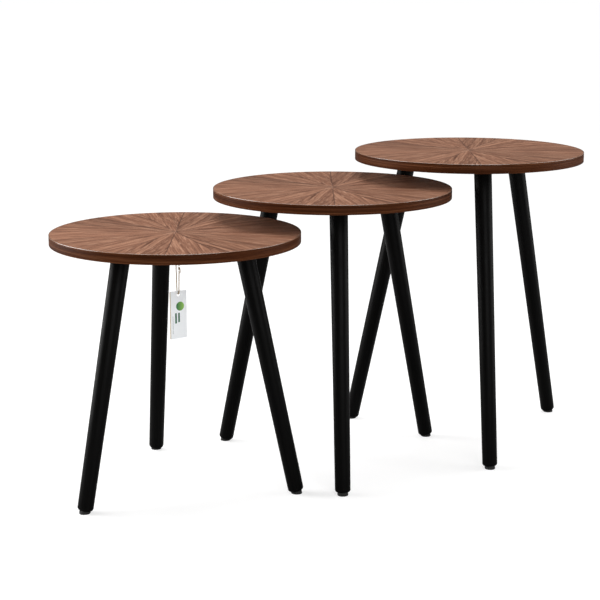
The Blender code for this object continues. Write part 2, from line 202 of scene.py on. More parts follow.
# Lights, with places in the camera's own across, away and up
SUN_STRENGTH = 2.35
SUN_SOFTNESS = math.radians(45)
SUN_TILT = (math.radians(-14), math.radians(6), 0.0)
SOFTBOX_POWER = {-1: 106.0, 1: 46.0}  # left and right
SOFTBOX_SIZE = (2.0, 2.4)
SOFTBOX_SPOT = (2.4, 0.2, 0.95)  # of the right one
FILL_POWER = 48.0
FILL_SIZE = 2.0
FILL_SPOT = (0.9, -2.9, 1.3)
LIGHT_TARGET = Vector((0.0, 0.0, 0.35))

# Floor and background
FLOOR_SIZE = 160.0
FLOOR_GREY = 0.42
FLOOR_GLOW = 0.66  # how white the paper looks by itself, without lighting what stands on it
WORLD_GLOW = 0.10  # how bright the background is as a light, though the camera sees it white

# Colours: stops of a ramp, or a dark and a pale end
FACE_STOPS = (
    (0.0, (0.085, 0.034, 0.018)), (0.32, (0.165, 0.070, 0.040)),
    (0.60, (0.262, 0.122, 0.073)), (1.0, (0.430, 0.224, 0.140)),
)
FACE_PORE = (0.070, 0.030, 0.017)
FACE_FLECK = (0.52, 0.30, 0.20)
LEAF_SHADES = (0.84, 1.14)
GLUE = ((0.060, 0.025, 0.015), (0.46, 0.26, 0.18))
# The rim's walnut and its pores are far darker than the face's: painted shade for the dim light on the
# board's sides.
SHADED_EDGE_STOPS = (
    (0.15, (0.020, 0.0050, 0.0016)), (0.48, (0.056, 0.0166, 0.0056)), (0.80, (0.128, 0.048, 0.021)),
)
SHADED_EDGE_PORE = (0.018, 0.0054, 0.0022)
# Painted highlight: a pale colour on the rim's upper bevel, for the light caught on that corner.
EDGE_ARRIS_HIGHLIGHT = (0.26, 0.145, 0.095)
BACKING = ((0.085, 0.045, 0.030), (0.20, 0.115, 0.075))
FIBREBOARD = ((0.20, 0.13, 0.075), (0.52, 0.40, 0.26))
LACQUER = ((0.0008, 0.0007, 0.0007), (0.0030, 0.0028, 0.0027))
LACQUER_SPECK = (0.04, 0.04, 0.04)
POWDER_COAT = ((0.018, 0.018, 0.019), (0.032, 0.032, 0.034))
ZINC = ((0.56, 0.56, 0.55), (0.40, 0.41, 0.42))  # clean, and marked
RUBBER = ((0.012, 0.012, 0.012), (0.035, 0.033, 0.031))
JUTE_STOPS = (
    (0.30, (0.21, 0.125, 0.055)), (0.50, (0.43, 0.30, 0.165)), (0.72, (0.66, 0.52, 0.34)),
)
JUTE_PATCH = (0.30, 0.20, 0.11)
CARD_WHITE = ((0.86, 0.885, 0.905), (0.93, 0.95, 0.965))
KRAFT = (0.60, 0.50, 0.38)
DISC_GREEN = ((0.030, 0.160, 0.060), (0.26, 0.50, 0.10))
BAR_GREEN = (0.020, 0.120, 0.055)
LINE_GREY = (0.26, 0.28, 0.29)


# Places


def board_centre(table):
    low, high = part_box(f"{table}_edge_band")
    return (low + high) / 2


def underside(table):
    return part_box(f"{table}_edge_band")[0].z


def leg_yaws(table):
    """A third of a turn from each leg to the next."""
    return [math.radians(LEG_YAWS[table] + 120 * i) for i in range(len(LEG_NUMBERS))]


def upright_frame(table, yaw):
    """Where a leg's axis meets the underside of the board, X pointing outwards, Z up."""
    centre = board_centre(table)
    reach = Matrix.Rotation(yaw, 4, "Z") @ Vector((LEG_CIRCLE_RADIUS, 0.0, 0.0))
    spot = Vector((centre.x + reach.x, centre.y + reach.y, underside(table)))
    return Matrix.Translation(spot) @ Matrix.Rotation(yaw, 4, "Z")


def leg_frame(table, yaw):
    """The same place, with Z up along the leg."""
    return upright_frame(table, yaw) @ Matrix.Rotation(-LEG_SPLAY, 4, "Y")


def floor_on_leg(table):
    return -underside(table) / math.cos(LEG_SPLAY)


def tag_frame():
    """The staple crown's middle, X along the crown, Z up."""
    back = Vector((0.0, 0.0, 1.0)).cross(TAG_ACROSS)
    turn = Matrix((TAG_ACROSS, back, (0.0, 0.0, 1.0))).transposed().to_4x4()
    return Matrix.Translation(TAG_POINT) @ turn


# Modelling helpers


def deselect_all():
    if bpy.context.mode != "OBJECT":
        bpy.ops.object.mode_set(mode="OBJECT")
    bpy.ops.object.select_all(action="DESELECT")


def choose(obj):
    deselect_all()
    obj.select_set(True)
    bpy.context.view_layer.objects.active = obj


def start_edit(obj):
    choose(obj)
    bpy.ops.object.mode_set(mode="EDIT")
    bpy.ops.mesh.select_all(action="DESELECT")


def select_faces(obj, test):
    """Selects just the faces that pass the test, and stays in edit mode."""
    bpy.ops.mesh.select_mode(type="FACE")
    bpy.ops.mesh.select_all(action="DESELECT")
    bpy.ops.object.mode_set(mode="OBJECT")
    for face in obj.data.polygons:
        face.select = test(face)
    bpy.ops.object.mode_set(mode="EDIT")


def select_edges(obj, test):
    """Selects just the edges whose two ends pass the test, and stays in edit mode."""
    bpy.ops.mesh.select_mode(type="EDGE")
    bpy.ops.mesh.select_all(action="DESELECT")
    bpy.ops.object.mode_set(mode="OBJECT")
    points = obj.data.vertices
    for edge in obj.data.edges:
        a, b = (points[i].co for i in edge.vertices)
        edge.select = test(a, b)
    bpy.ops.object.mode_set(mode="EDIT")


def add_cylinder(name, radius, low, high, sides, location=(0.0, 0.0)):
    deselect_all()
    bpy.ops.mesh.primitive_cylinder_add(
        vertices=sides, radius=radius, depth=high - low, location=(*location, (low + high) / 2)
    )
    return named(name)


def named(name):
    obj = bpy.context.object
    obj.name = name
    obj.data.name = name
    settle(obj)
    return obj


def settle(obj):
    """Puts the object's place, turn and scale into its mesh."""
    choose(obj)
    bpy.ops.object.transform_apply(location=True, rotation=True, scale=True)


def apply_modifier(obj, kind, **settings):
    choose(obj)
    modifier = obj.modifiers.new(kind.lower(), kind)
    for key, value in settings.items():
        setattr(modifier, key, value)
    bpy.ops.object.modifier_apply(modifier=modifier.name)


def ease_edges(obj, width, segments=2, angle=40):
    apply_modifier(
        obj, "BEVEL", width=width, segments=segments, limit_method="ANGLE",
        angle_limit=math.radians(angle),
    )


def shade(obj, angle):
    choose(obj)
    bpy.ops.object.shade_smooth_by_angle(angle=math.radians(angle))


def keep_place(obj, order=(0, 1, 2)):
    """Remembers where each point is before the piece is placed, first along its grain."""
    kept = obj.data.attributes.new("grain", "FLOAT_VECTOR", "POINT")
    for point, value in zip(obj.data.vertices, kept.data):
        value.vector = [point.co[axis] for axis in order]


def placed_copy(obj, name, place):
    copy = obj.copy()
    copy.data = obj.data.copy()
    copy.name = name
    copy.data.name = name
    bpy.context.scene.collection.objects.link(copy)
    copy.data.transform(place)
    copy.data.update()
    return copy


def remove(obj):
    bpy.data.objects.remove(obj)


def finish_piece(obj, body, material, slot, *nodes):
    obj.data.materials.clear()
    obj.data.materials.append(material)
    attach(obj, body)
    if nodes:
        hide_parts(*nodes)


# Shader helpers


class Tree:
    """A material's or a group's nodes, added one call at a time."""

    def __init__(self, tree):
        self.nodes = tree.nodes
        self.links = tree.links

    def add(self, kind, inputs=(), **settings):
        node = self.nodes.new(kind)
        for key, value in settings.items():
            setattr(node, key, value)
        for socket, value in dict(inputs).items():
            if isinstance(value, bpy.types.NodeSocket):
                self.links.new(value, node.inputs[socket])
            else:
                node.inputs[socket].default_value = value
        return node

    def math(self, operation, a, b=0.0):
        return self.add("ShaderNodeMath", {0: a, 1: b}, operation=operation).outputs[0]

    def scaled(self, vector, factors):
        node = self.add("ShaderNodeVectorMath", {0: vector, 1: factors}, operation="MULTIPLY")
        return node.outputs[0]

    def ranged(self, value, low, high, to_low=0.0, to_high=1.0):
        node = self.add("ShaderNodeMapRange", {0: value, 1: low, 2: high, 3: to_low, 4: to_high})
        return node.outputs[0]

    def noise(self, vector, seed, detail, roughness, distortion=0.0):
        return self.add(
            "ShaderNodeTexNoise",
            {"Vector": vector, "W": seed, "Scale": 1.0, "Detail": detail, "Roughness": roughness,
             "Distortion": distortion},
            noise_dimensions="4D",
        ).outputs["Fac"]

    def ramp(self, value, stops):
        node = self.add("ShaderNodeValToRGB", {"Fac": value})
        elements = node.color_ramp.elements
        while len(elements) < len(stops):
            elements.new(0.5)
        for element, (position, colour) in zip(elements, stops):
            element.position = position
            element.color = (*colour, 1.0)
        return node.outputs["Color"]

    def mixed(self, factor, a, b, blend="MIX"):
        node = self.add("ShaderNodeMix", {"Factor": factor}, data_type="RGBA", blend_type=blend)
        for socket, value in ((node.inputs[6], a), (node.inputs[7], b)):
            if isinstance(value, bpy.types.NodeSocket):
                self.links.new(value, socket)
            else:
                socket.default_value = (*value, 1.0)
        return node.outputs[2]

    def filled(self, group, inputs):
        return self.add("ShaderNodeGroup", inputs, node_tree=group).outputs


def new_group(name, inputs, outputs):
    group = bpy.data.node_groups.new(name, "ShaderNodeTree")
    for socket, kind, value in inputs:
        made = group.interface.new_socket(name=socket, in_out="INPUT", socket_type=kind)
        if value is not None:
            made.default_value = value
    for socket, kind in outputs:
        group.interface.new_socket(name=socket, in_out="OUTPUT", socket_type=kind)
    tree = Tree(group)
    return group, tree, tree.add("NodeGroupInput").outputs, tree.add("NodeGroupOutput").inputs


def new_material(name, **settings):
    """A material with its Principled shader's constant sockets set."""
    material = bpy.data.materials.new(name)
    material.use_nodes = True
    shader = material.node_tree.nodes["Principled BSDF"]
    for socket, value in settings.items():
        shader.inputs[socket.replace("_", " ")].default_value = value
    return material, Tree(material.node_tree), shader


def bump(tree, shader, height, distance, strength):
    node = tree.add("ShaderNodeBump", {"Height": height, "Distance": distance, "Strength": strength})
    tree.links.new(node.outputs["Normal"], shader.inputs["Normal"])


def attribute(tree, name):
    return tree.add("ShaderNodeAttribute", attribute_name=name).outputs["Vector"]


def object_place(tree):
    return tree.add("ShaderNodeTexCoord").outputs["Object"]


# Effects that several finishes share


def wood_figure_group():
    """Bands, streaks and pores that run along the first axis of Place."""
    group, tree, inputs, outputs = new_group(
        "wood_figure",
        [("Place", "NodeSocketVector", None), ("Seed", "NodeSocketFloat", 0.0)],
        [("Tone", "NodeSocketFloat"), ("Pores", "NodeSocketFloat"), ("Flecks", "NodeSocketFloat")],
    )
    place, seed = inputs["Place"], inputs["Seed"]
    other_seed = tree.math("ADD", seed, 0.5)
    bands = tree.noise(tree.scaled(place, (2.0, 85.0, 85.0)), seed, detail=4.0, roughness=0.62)
    streaks = tree.noise(tree.scaled(place, (5.0, 270.0, 270.0)), seed, detail=4.0, roughness=0.68)
    fibres = tree.noise(tree.scaled(place, (22.0, 800.0, 800.0)), seed, detail=3.0, roughness=0.65)
    pores = tree.noise(tree.scaled(place, (34.0, 620.0, 620.0)), seed, detail=2.0, roughness=0.5)
    flecks = tree.noise(tree.scaled(place, (26.0, 430.0, 430.0)), other_seed, detail=2.0, roughness=0.5)
    tone = tree.math("MULTIPLY", bands, 0.34)
    tone = tree.math("ADD", tone, tree.math("MULTIPLY", streaks, 0.40))
    tone = tree.math("ADD", tone, tree.math("MULTIPLY", fibres, 0.26))
    tree.links.new(tree.ranged(tone, 0.395, 0.605), outputs["Tone"])
    tree.links.new(tree.ranged(pores, 0.56, 0.66), outputs["Pores"])
    tree.links.new(tree.ranged(flecks, 0.56, 0.66), outputs["Flecks"])
    return group


def scuff_group():
    """Soft uneven handling marks, and fine dust-like specks."""
    group, tree, inputs, outputs = new_group(
        "scuff",
        [("Place", "NodeSocketVector", None), ("Seed", "NodeSocketFloat", 0.0)],
        [("Marks", "NodeSocketFloat"), ("Specks", "NodeSocketFloat")],
    )
    place, seed = inputs["Place"], inputs["Seed"]
    wide = tree.scaled(place, (22.0,) * 3)
    fine = tree.scaled(place, (1400.0,) * 3)
    marks = tree.noise(wide, seed, detail=5.0, roughness=0.6, distortion=0.8)
    specks = tree.noise(fine, seed, detail=1.0, roughness=0.5)
    tree.links.new(tree.ranged(marks, 0.35, 0.7), outputs["Marks"])
    tree.links.new(tree.ranged(specks, 0.45, 0.75), outputs["Specks"])
    return group


WOOD_FIGURE = wood_figure_group()
SCUFF = scuff_group()


# Finishes


def walnut_face_material():
    """Sixteen leaves with their grain running outwards, every other one turned over."""
    material, tree, shader = new_material("walnut_face", Specular_IOR_Level=0.16)
    leaf = attribute(tree, "leaf")
    along, across, number = tree.add("ShaderNodeSeparateXYZ", {0: leaf}).outputs
    turned = tree.math("FLOORED_MODULO", number, 2.0)
    facing = tree.math("SUBTRACT", 1.0, tree.math("MULTIPLY", turned, 2.0))
    mirrored = tree.math("MULTIPLY", across, facing)
    place = tree.add("ShaderNodeCombineXYZ", {0: along, 1: mirrored, 2: 0.0}).outputs[0]
    figure = tree.filled(WOOD_FIGURE, {"Place": place, "Seed": tree.math("MULTIPLY", number, 3.7)})
    colour = tree.ramp(figure["Tone"], FACE_STOPS)
    colour = tree.mixed(tree.math("MULTIPLY", figure["Pores"], 0.55), colour, FACE_PORE)
    colour = tree.mixed(tree.math("MULTIPLY", figure["Flecks"], 0.50), colour, FACE_FLECK)
    tone = tree.add("ShaderNodeTexWhiteNoise", {"W": number}, noise_dimensions="1D").outputs["Value"]
    shade_of_leaf = tree.ranged(tone, 0.0, 1.0, *LEAF_SHADES)
    leaf_grey = tree.add("ShaderNodeCombineXYZ", {0: shade_of_leaf, 1: shade_of_leaf, 2: shade_of_leaf})
    colour = tree.mixed(1.0, colour, leaf_grey.outputs[0], "MULTIPLY")
    colour = tree.mixed(seam_mask(tree, along, across), colour, seam_colour(tree, number, along))
    tree.links.new(colour, shader.inputs["Base Color"])
    scuff = tree.filled(SCUFF, {"Place": object_place(tree), "Seed": 2.0})
    roughness = tree.ranged(scuff["Marks"], 0.0, 1.0, 0.40, 0.50)
    roughness = tree.math("ADD", roughness, tree.math("MULTIPLY", figure["Pores"], 0.10))
    tree.links.new(roughness, shader.inputs["Roughness"])
    bump(tree, shader, tree.math("SUBTRACT", 1.0, figure["Pores"]), distance=0.00003, strength=0.6)
    return material


def seam_mask(tree, along, across):
    """Strongest on the joint between two leaves, fading out at the edge of its glue line."""
    inwards = tree.math("MULTIPLY", tree.math("ABSOLUTE", across), math.cos(LEAF_ANGLE / 2))
    distance = tree.math("SUBTRACT", tree.math("MULTIPLY", along, math.sin(LEAF_ANGLE / 2)), inwards)
    return tree.ranged(distance, SEAM_CORE, SEAM_EDGE, SEAM_DEPTH, 0.0)


def seam_colour(tree, number, along):
    """Some joints show a dark glue line and others a pale one, with slow changes along them."""
    seed = tree.math("MULTIPLY", number, 5.3)
    place = tree.add("ShaderNodeCombineXYZ", {0: tree.math("MULTIPLY", along, 6.0)}).outputs[0]
    choice = tree.ranged(tree.noise(place, seed, detail=1.0, roughness=0.5), 0.53, 0.61)
    return tree.mixed(choice, *GLUE)


def walnut_edge_material():
    """Grain round the rim, in thin level lines, and a painted highlight on the corner where arris is
    one.
    """
    material, tree, shader = new_material(
        "walnut_edge", Specular_IOR_Level=0.02, Coat_Roughness=0.22, Coat_IOR=1.9,
    )
    place = object_place(tree)
    x, y, z = tree.add("ShaderNodeSeparateXYZ", {0: place}).outputs
    across = tree.math("MULTIPLY", z, 1.5)
    along_x = tree.add("ShaderNodeCombineXYZ", {0: x, 1: across}).outputs[0]
    along_y = tree.add("ShaderNodeCombineXYZ", {0: y, 1: across}).outputs[0]
    first = tree.filled(WOOD_FIGURE, {"Place": along_x, "Seed": 4.0})
    second = tree.filled(WOOD_FIGURE, {"Place": along_y, "Seed": 9.0})
    tone = tree.math("MULTIPLY", tree.math("ADD", first["Tone"], second["Tone"]), 0.5)
    # Painted shade: the rim's ramp is far darker than the face's, for the little light on the sides.
    colour = tree.ramp(tone, SHADED_EDGE_STOPS)
    colour = tree.mixed(tree.math("MULTIPLY", first["Pores"], 0.35), colour, SHADED_EDGE_PORE)
    arris = tree.add("ShaderNodeAttribute", attribute_name="arris").outputs["Fac"]
    # Painted highlight: the upper bevel takes a pale colour, for the light caught on the rim's top
    # corner.
    colour = tree.mixed(arris, colour, EDGE_ARRIS_HIGHLIGHT)
    tree.links.new(colour, shader.inputs["Base Color"])
    tree.links.new(arris, shader.inputs["Coat Weight"])
    roughness = tree.ranged(tone, 0.0, 1.0, 0.50, 0.38)
    roughness = tree.math("SUBTRACT", roughness, tree.math("MULTIPLY", arris, 0.16))
    tree.links.new(roughness, shader.inputs["Roughness"])
    bump(tree, shader, tree.math("SUBTRACT", 1.0, second["Pores"]), distance=0.00003, strength=0.6)
    return material


def backing_material():
    """Plain straight-grained sheet, grain along X."""
    material, tree, shader = new_material("backing_sheet", Roughness=0.6, Specular_IOR_Level=0.3)
    figure = tree.filled(WOOD_FIGURE, {"Place": object_place(tree), "Seed": 13.0})
    colour = tree.mixed(figure["Tone"], *BACKING)
    pore = tuple(0.5 * value for value in BACKING[0])
    colour = tree.mixed(tree.math("MULTIPLY", figure["Pores"], 0.4), colour, pore)
    tree.links.new(colour, shader.inputs["Base Color"])
    bump(tree, shader, figure["Tone"], distance=0.00004, strength=0.5)
    return material


def board_core_material():
    """Pressed fibre, in small pale and dark flecks."""
    material, tree, shader = new_material("board_core", Roughness=0.85, Specular_IOR_Level=0.2)
    place = tree.scaled(object_place(tree), (420.0, 420.0, 900.0))
    flecks = tree.noise(place, 1.0, detail=4.0, roughness=0.7)
    tree.links.new(tree.mixed(flecks, *FIBREBOARD), shader.inputs["Base Color"])
    bump(tree, shader, flecks, distance=0.0001, strength=0.5)
    return material


def leg_material():
    """Satin black lacquer that shows a little of the turned wood's grain."""
    material, tree, shader = new_material("leg_black", Specular_IOR_Level=0.045)
    place = attribute(tree, "grain")
    figure = tree.filled(WOOD_FIGURE, {"Place": place, "Seed": 6.0})
    scuff = tree.filled(SCUFF, {"Place": place, "Seed": 3.0})
    colour = tree.mixed(figure["Tone"], *LACQUER)
    colour = tree.mixed(tree.math("MULTIPLY", scuff["Specks"], 0.06), colour, LACQUER_SPECK)
    tree.links.new(colour, shader.inputs["Base Color"])
    roughness = tree.ranged(scuff["Marks"], 0.0, 1.0, 0.34, 0.46)
    tree.links.new(roughness, shader.inputs["Roughness"])
    height = tree.math("ADD", figure["Tone"], tree.math("MULTIPLY", figure["Pores"], -0.6))
    bump(tree, shader, height, distance=0.00008, strength=0.55)
    return material


def powder_coat_material():
    material, tree, shader = new_material("plate_steel", Specular_IOR_Level=0.45)
    place = object_place(tree)
    scuff = tree.filled(SCUFF, {"Place": place, "Seed": 5.0})
    peel = tree.noise(tree.scaled(place, (900.0,) * 3), 2.0, detail=2.0, roughness=0.5)
    colour = tree.mixed(scuff["Marks"], *POWDER_COAT)
    tree.links.new(colour, shader.inputs["Base Color"])
    tree.links.new(tree.ranged(scuff["Marks"], 0.0, 1.0, 0.42, 0.55), shader.inputs["Roughness"])
    bump(tree, shader, peel, distance=0.00012, strength=0.5)
    return material


def zinc_material():
    material, tree, shader = new_material("zinc_steel", Metallic=1.0)
    place = object_place(tree)
    scuff = tree.filled(SCUFF, {"Place": place, "Seed": 8.0})
    fine = tree.scaled(place, (600.0, 600.0, 2600.0))
    brushed = tree.noise(fine, 3.0, detail=3.0, roughness=0.6)
    colour = tree.mixed(scuff["Marks"], *ZINC)
    tree.links.new(colour, shader.inputs["Base Color"])
    tree.links.new(tree.ranged(brushed, 0.3, 0.7, 0.24, 0.42), shader.inputs["Roughness"])
    bump(tree, shader, brushed, distance=0.00003, strength=0.5)
    return material


def rubber_material():
    material, tree, shader = new_material("foot_rubber", Specular_IOR_Level=0.3)
    place = object_place(tree)
    scuff = tree.filled(SCUFF, {"Place": place, "Seed": 11.0})
    grain = tree.noise(tree.scaled(place, (1700.0,) * 3), 4.0, detail=3.0, roughness=0.6)
    colour = tree.mixed(scuff["Specks"], *RUBBER)
    tree.links.new(colour, shader.inputs["Base Color"])
    tree.links.new(tree.ranged(scuff["Marks"], 0.0, 1.0, 0.66, 0.85), shader.inputs["Roughness"])
    bump(tree, shader, grain, distance=0.0001, strength=0.5)
    return material


def twine_material():
    """Jute fibres that follow the plies: the grain attribute holds length along and turn round."""
    material, tree, shader = new_material("tag_twine", Roughness=0.88, Specular_IOR_Level=0.15)
    place = attribute(tree, "grain")
    fine = tree.scaled(place, (500.0, 5200.0, 5200.0))
    fibres = tree.noise(fine, 1.0, detail=4.0, roughness=0.65)
    wide = tree.scaled(place, (90.0, 300.0, 300.0))
    patches = tree.noise(wide, 2.0, detail=2.0, roughness=0.5)
    colour = tree.ramp(fibres, JUTE_STOPS)
    colour = tree.mixed(tree.math("MULTIPLY", patches, 0.45), colour, JUTE_PATCH)
    tree.links.new(colour, shader.inputs["Base Color"])
    bump(tree, shader, fibres, distance=0.00012, strength=0.8)
    return material


def card_material():
    """White card with a kraft edge strip, a plain green disc and bars, and a grey dotted line."""
    material, tree, shader = new_material("tag_card", Roughness=0.62, Specular_IOR_Level=0.3)
    place = attribute(tree, "grain")
    x, y, z = tree.add("ShaderNodeSeparateXYZ", {0: place}).outputs
    front = tree.math("LESS_THAN", y, -CARD_THICKNESS / 4)
    fibre = tree.noise(tree.scaled(place, (900.0,) * 3), 1.0, detail=4.0, roughness=0.65)
    colour = tree.mixed(fibre, *CARD_WHITE)
    full, gone = (edge - CARD_WIDTH / 2 for edge in CARD_STRIP_EDGE)
    colour = tree.mixed(tree.ranged(x, full, gone, 1.0, 0.0), colour, KRAFT)
    disc = disc_mask(tree, x, z, *CARD_DISC)
    disc_green = tree.mixed(tree.ranged(x, *CARD_DISC_FADE), *DISC_GREEN)
    colour = tree.mixed(tree.math("MULTIPLY", disc, front), colour, disc_green)
    for bar in CARD_BARS:
        mask = box_mask(tree, x, z, *bar)
        colour = tree.mixed(tree.math("MULTIPLY", mask, front), colour, BAR_GREEN)
    dots = tree.math("FRACT", tree.math("MULTIPLY", z, CARD_DOTS_PER_METRE))
    dots = tree.math("GREATER_THAN", dots, CARD_DOT_SPACE)
    line = tree.math("MULTIPLY", box_mask(tree, x, z, *CARD_LINE), dots)
    colour = tree.mixed(tree.math("MULTIPLY", line, front), colour, LINE_GREY)
    tree.links.new(colour, shader.inputs["Base Color"])
    bump(tree, shader, fibre, distance=0.00004, strength=0.4)
    return material


def disc_mask(tree, x, z, centre_x, centre_z, radius):
    right = tree.math("SUBTRACT", x, centre_x)
    up = tree.math("SUBTRACT", z, centre_z)
    spot = tree.add("ShaderNodeCombineXYZ", {0: right, 1: up}).outputs[0]
    away = tree.add("ShaderNodeVectorMath", {0: spot}, operation="LENGTH").outputs["Value"]
    return tree.ranged(away, radius - MARK_SOFTNESS, radius + MARK_SOFTNESS, 1.0, 0.0)


def box_mask(tree, x, z, left, low, right, high):
    inside = [
        tree.math("GREATER_THAN", x, left), tree.math("LESS_THAN", x, right),
        tree.math("GREATER_THAN", z, low), tree.math("LESS_THAN", z, high),
    ]
    mask = inside[0]
    for side in inside[1:]:
        mask = tree.math("MULTIPLY", mask, side)
    return mask


# Camera, floor and lights


def make_camera():
    centre = board_centre("small")
    deselect_all()
    bpy.ops.object.camera_add(
        location=(centre.x + CAMERA_OFFSET.x, centre.y + CAMERA_OFFSET.y, CAMERA_OFFSET.z),
        rotation=(math.pi / 2 - CAMERA_PITCH, 0.0, CAMERA_YAW),
    )
    camera = bpy.context.object
    camera.data.sensor_width = CAMERA_SENSOR
    camera.data.lens = CAMERA_LENS
    bpy.context.scene.camera = camera


def make_floor():
    """Pale paper that looks white by itself, and can be seen through from below."""
    deselect_all()
    bpy.ops.mesh.primitive_plane_add(size=FLOOR_SIZE, location=(0.0, 0.0, 0.0))
    floor = bpy.context.object
    floor.name = "studio_floor"
    material, tree, shader = new_material("studio_floor", Roughness=0.9, Specular_IOR_Level=0.0)
    shader.inputs["Base Color"].default_value = (FLOOR_GREY, FLOOR_GREY, FLOOR_GREY, 1.0)
    shader.inputs["Emission Color"].default_value = (1.0, 1.0, 1.0, 1.0)
    seen = tree.add("ShaderNodeLightPath").outputs["Is Camera Ray"]
    tree.links.new(tree.math("MULTIPLY", seen, FLOOR_GLOW), shader.inputs["Emission Strength"])
    below = tree.add("ShaderNodeNewGeometry").outputs["Backfacing"]
    clear = tree.add("ShaderNodeBsdfTransparent").outputs[0]
    surface = tree.add("ShaderNodeMixShader", {0: below, 1: shader.outputs[0], 2: clear}).outputs[0]
    tree.links.new(surface, material.node_tree.nodes["Material Output"].inputs["Surface"])
    floor.data.materials.append(material)


def add_area_light(spot, power, size):
    """A panel that faces the tables, from a spot in the camera's own directions."""
    spot = Matrix.Rotation(CAMERA_YAW, 4, "Z") @ Vector(spot)
    aim = (LIGHT_TARGET - spot).to_track_quat("-Z", "Y").to_euler()
    bpy.ops.object.light_add(type="AREA", location=spot, rotation=aim)
    light = bpy.context.object.data
    light.shape = "RECTANGLE"
    light.size, light.size_y = size
    light.energy = power


def make_lights():
    bpy.ops.object.light_add(type="SUN", rotation=SUN_TILT)
    sun = bpy.context.object.data
    sun.energy = SUN_STRENGTH
    sun.angle = SUN_SOFTNESS
    across, away, up = SOFTBOX_SPOT
    for side, power in SOFTBOX_POWER.items():
        add_area_light((across * side, away, up), power, SOFTBOX_SIZE)
    add_area_light(FILL_SPOT, FILL_POWER, (FILL_SIZE, FILL_SIZE))


def make_background():
    """White to the camera, and dim as a light."""
    world = bpy.context.scene.world or bpy.data.worlds.new("studio")
    bpy.context.scene.world = world
    world.use_nodes = True
    tree = Tree(world.node_tree)
    background = world.node_tree.nodes["Background"]
    seen = tree.add("ShaderNodeLightPath").outputs["Is Camera Ray"]
    tree.links.new(tree.ranged(seen, 0.0, 1.0, WORLD_GLOW, 1.0), background.inputs["Strength"])
    background.inputs["Color"].default_value = (1.0, 1.0, 1.0, 1.0)
    bpy.context.scene.view_settings.view_transform = "Standard"


# Twine


def smooth_route(points, step):
    """Points one step apart on a Catmull-Rom curve through the given ones."""
    padded = [2 * points[0] - points[1], *points, 2 * points[-1] - points[-2]]
    fine = []
    for before, start, end, after in zip(padded, padded[1:], padded[2:], padded[3:]):
        for i in range(ROUTE_PIECES):
            t = i / ROUTE_PIECES
            fine.append(0.5 * (
                2 * start + (end - before) * t
                + (2 * before - 5 * start + 4 * end - after) * t * t
                + (3 * start - before - 3 * end + after) * t ** 3
            ))
    fine.append(points[-1])
    lengths = [0.0]
    for a, b in zip(fine, fine[1:]):
        lengths.append(lengths[-1] + (b - a).length)
    count = round(lengths[-1] / step)
    spots = []
    k = 0
    for i in range(count):
        wanted = i / count * lengths[-1]
        while lengths[k + 1] <= wanted:
            k += 1
        share = (wanted - lengths[k]) / (lengths[k + 1] - lengths[k])
        spots.append(fine[k].lerp(fine[k + 1], share))
    return [*spots, fine[-1]]


def ply_outline(turn, radius, sides):
    """The section of three plies laid together, each a third of the way round."""
    ply = radius * PLY_SHARE
    out = radius - ply
    points = []
    for i in range(sides):
        angle = 2 * math.pi * i / sides
        off = (angle - turn + math.pi / 3) % (2 * math.pi / 3) - math.pi / 3
        half_chord = math.sqrt(max(0.0, ply ** 2 - (out * math.sin(off)) ** 2))
        reach = out * math.cos(off) + half_chord
        points.append((reach * math.cos(angle), reach * math.sin(angle), angle))
    return points


def laid_twine(name, route, radius):
    """A tube of three twisted plies along the route, with closed ends and a slightly uneven girth."""
    sides = TWINE_SIDES
    spots = smooth_route(route, TWINE_STEP)
    side = (spots[1] - spots[0]).orthogonal().normalized()
    points, faces, places = [], [], []
    for i, spot in enumerate(spots):
        along = (spots[min(i + 1, len(spots) - 1)] - spots[max(i - 1, 0)]).normalized()
        side = (side - along * side.dot(along)).normalized()
        other = along.cross(side)
        wave = math.sin(i * 0.41) * math.sin(i * 0.173 + 1.0)
        girth = radius * (1.0 - TWINE_UNEVENNESS * (0.5 + 0.5 * wave))
        turn = 2 * math.pi * i * TWINE_STEP / TWINE_LAY
        for x, y, angle in ply_outline(turn, girth, sides):
            points.append(spot + side * x + other * y)
            places.append((i * TWINE_STEP, (angle - turn) * radius * FIBRE_SPREAD, 0.0))
    for i in range(len(spots) - 1):
        for j in range(sides):
            k = (j + 1) % sides
            faces.append((i * sides + j, i * sides + k, (i + 1) * sides + k, (i + 1) * sides + j))
    faces.append(tuple(reversed(range(sides))))
    faces.append(tuple(range((len(spots) - 1) * sides, len(spots) * sides)))
    mesh = bpy.data.meshes.new(name)
    mesh.from_pydata(points, [], faces)
    kept = mesh.attributes.new("grain", "FLOAT_VECTOR", "POINT")
    for value, place in zip(kept.data, places):
        value.vector = place
    obj = bpy.data.objects.new(name, mesh)
    bpy.context.scene.collection.objects.link(obj)
    return obj


def knot_routes(upper, lower, front):
    """The knot's turns between two ends of the twine, and the loose end that hangs from them."""
    middle = (upper + lower) / 2
    along = (upper - lower).normalized()
    out = along.cross(TAG_ACROSS).normalized()
    if out.dot(front) < 0:
        out = -out
    turns = []
    for i in range(KNOT_PIECES + 1):
        share = i / KNOT_PIECES
        angle = 2 * math.pi * KNOT_TURNS * share
        ring = KNOT_RING_RADIUS + KNOT_RING_SWELL * math.sin(math.pi * share)
        centre = middle + along * (KNOT_LENGTH * (share - 0.5))
        turns.append(centre + ring * (TAG_ACROSS * math.cos(angle) + out * math.sin(angle)))
    tail = [middle + along * up + TAG_ACROSS * across for up, across in KNOT_TAIL]
    return turns, tail


